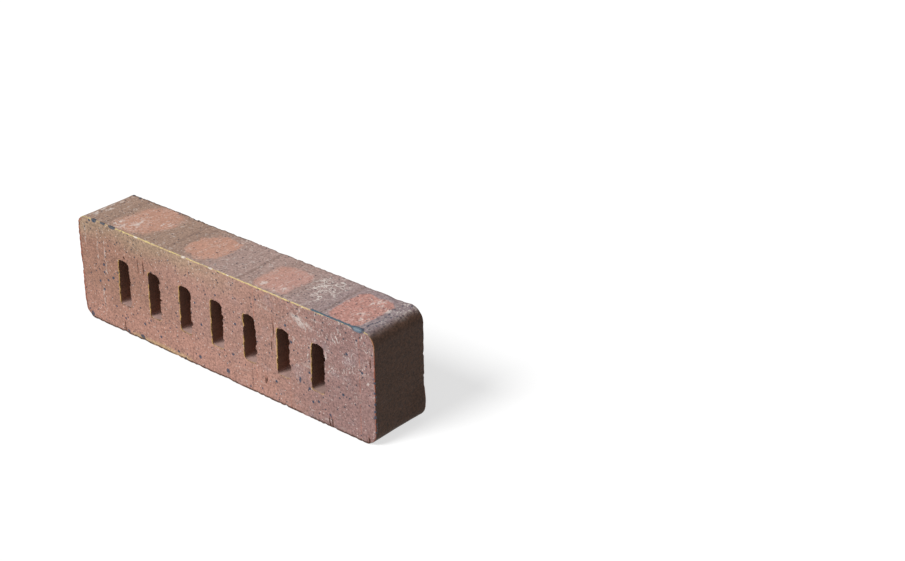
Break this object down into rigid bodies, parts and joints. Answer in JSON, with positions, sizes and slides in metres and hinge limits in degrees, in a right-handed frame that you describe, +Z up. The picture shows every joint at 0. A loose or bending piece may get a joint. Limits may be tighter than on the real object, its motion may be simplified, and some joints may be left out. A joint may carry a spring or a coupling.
{
  "type": "clinker brick",
  "caption": "Long thin fired clay clinker brick with a row of round-ended slots through it, standing on its long narrow side.",
  "frame": {"origin": "on the floor under the middle of the brick", "axes": "+X along the brick's length, +Y from the bed face the picture shows to the one behind it, +Z up"},
  "size_m": [0.29, 0.048, 0.083],
  "materials": {
    "clinker": "matte"
  },
  "bodies": {
    "root": {"brick": "clinker"}
  },
  "joints": []
}
